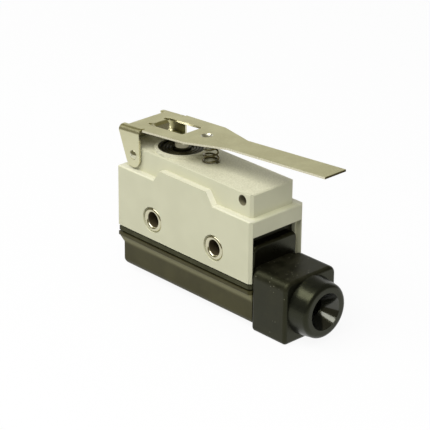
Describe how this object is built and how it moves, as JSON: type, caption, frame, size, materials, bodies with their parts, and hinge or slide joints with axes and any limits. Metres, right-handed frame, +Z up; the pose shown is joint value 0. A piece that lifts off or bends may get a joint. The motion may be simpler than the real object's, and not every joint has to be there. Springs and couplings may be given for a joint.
{
  "type": "micro switch",
  "caption": "Enclosed snap-action micro switch with bushed mounting holes, a long sprung hinge lever over a sealed plunger, a gasketed terminal cover and a rubber cable cap at one end",
  "frame": {"origin": "midway between the two mounting holes, on the middle plane of the case", "axes": "+X along the case towards the cable cap, -Y out of the front face, +Z up to the lever"},
  "size_m": [0.0768, 0.0208, 0.0512],
  "materials": {
    "case_plastic": "satin light warm grey",
    "bush_metal": "bright nickel",
    "plunger_plastic": "satin cream",
    "guide_brass": "turned",
    "boot_rubber": "matte black",
    "lever_steel": "fine brushed stainless",
    "spring_steel": "drawn wire",
    "blade_copper": "rolled strip",
    "contact_silver": "satin silver",
    "terminal_brass": "stamped",
    "base_plastic": "moulded dark brown",
    "screw_steel": "plated",
    "gasket_rubber": "matte grey green",
    "cover_plastic": "satin brown black",
    "cap_rubber": "soft black"
  },
  "bodies": {
    "housing": {"case": "case_plastic", "mounting_bush_left": "bush_metal", "mounting_bush_right": "bush_metal", "plunger_guide": "guide_brass", "plunger_boot": "boot_rubber", "lever_spring": "spring_steel", "closed_contact": "contact_silver", "open_contact": "contact_silver", "common_terminal": "terminal_brass", "closed_terminal": "terminal_brass", "open_terminal": "terminal_brass", "terminal_base": "base_plastic", "terminal_screws": "screw_steel", "wire_clamps": "screw_steel", "cover_gasket": "gasket_rubber", "terminal_cover": "cover_plastic", "cover_screws": "screw_steel", "cable_cap": "cap_rubber"},
    "lever": {"hinge_lever": "lever_steel", "hinge_pin": "lever_steel"},
    "plunger": {"plunger": "plunger_plastic"},
    "blade": {"snap_blade": "blade_copper", "moving_contact": "contact_silver"}
  },
  "joints": [
    {"name": "lever_hinge", "type": "hinge", "parent": "housing", "child": "lever", "pos_m": [-0.022, 0, 0.017], "axis": [0, 1, 0], "range_deg": [0, 8], "stiffness_Nm_per_rad": 0.15, "springref_deg": -11.46, "deforming": ["lever_spring"]},
    {"name": "plunger_slide", "type": "slide", "parent": "housing", "child": "plunger", "axis": [0, 0, -1], "range_m": [0, 0.0015]},
    {"name": "blade_snap", "type": "hinge", "parent": "housing", "child": "blade", "pos_m": [-0.0205, 0, 0.0102], "axis": [0, 1, 0], "range_deg": [0, 3.6]}
  ],
  "couplings": [
    {"joint": "plunger_slide", "follows": "lever_hinge", "m_per_rad": 0.01069},
    {"joint": "blade_snap", "follows": "lever_hinge", "ratio": 0.4375}
  ]
}
